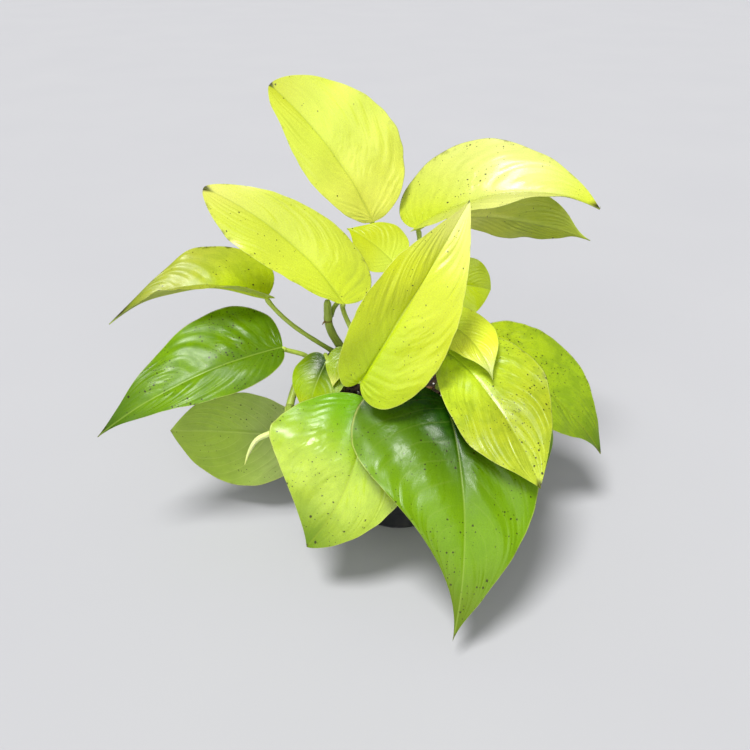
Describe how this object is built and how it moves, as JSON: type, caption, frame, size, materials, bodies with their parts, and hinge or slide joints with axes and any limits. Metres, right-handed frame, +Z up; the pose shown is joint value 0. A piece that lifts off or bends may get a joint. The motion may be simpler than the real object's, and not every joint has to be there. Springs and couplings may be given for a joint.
{
  "type": "potted pothos plant",
  "caption": "Bushy young pothos with broad heart-shaped yellow-green leaves on short vines, rooted in a round tapered black nursery pot.",
  "frame": {"origin": "centre of the pot's flat underside, which stands on the surface", "axes": "+Z up, along the pot's axis; -Y towards the front, where the largest leaf hangs over the rim; +X to the right seen from the front"},
  "size_m": [0.271, 0.219, 0.2336],
  "materials": {
    "neon_leaf": "smooth waxy leaf, satin gloss",
    "green_leaf": "smooth waxy leaf, satin gloss",
    "young_leaf": "soft, satin",
    "stem": "smooth green stem, satin",
    "potting_mix": "loose dark peat and bark with pale grit, matt",
    "pot_plastic": "moulded black polypropylene, satin"
  },
  "bodies": {
    "root": {"pot": "pot_plastic", "soil": "potting_mix", "vine_front": "stem", "vine_left": "stem", "vine_back_left": "stem", "vine_back": "stem", "vine_right": "stem", "leaf_crown": "neon_leaf", "petiole_crown": "stem", "leaf_upper_left": "neon_leaf", "petiole_upper_left": "stem", "leaf_far_left": "green_leaf", "petiole_far_left": "stem", "leaf_mid_left": "green_leaf", "petiole_mid_left": "stem", "leaf_low_left": "green_leaf", "petiole_low_left": "stem", "leaf_front_left": "neon_leaf", "petiole_front_left": "stem", "leaf_front": "green_leaf", "petiole_front": "stem", "leaf_centre": "neon_leaf", "petiole_centre": "stem", "leaf_right_arch": "neon_leaf", "petiole_right_arch": "stem", "leaf_right_back": "neon_leaf", "petiole_right_back": "stem", "leaf_middle_back": "neon_leaf", "petiole_middle_back": "stem", "leaf_behind_right": "neon_leaf", "petiole_behind_right": "stem", "leaf_small_right": "neon_leaf", "petiole_small_right": "stem", "leaf_mid_right": "neon_leaf", "petiole_mid_right": "stem", "leaf_far_right": "neon_leaf", "petiole_far_right": "stem", "leaf_low_right": "green_leaf", "petiole_low_right": "stem", "leaf_shade_left": "green_leaf", "petiole_shade_left": "stem", "leaf_back_low": "neon_leaf", "petiole_back_low": "stem", "leaf_back_left": "neon_leaf", "petiole_back_left": "stem", "leaf_small_left": "neon_leaf", "petiole_small_left": "stem", "new_leaf": "young_leaf"}
  },
  "joints": []
}
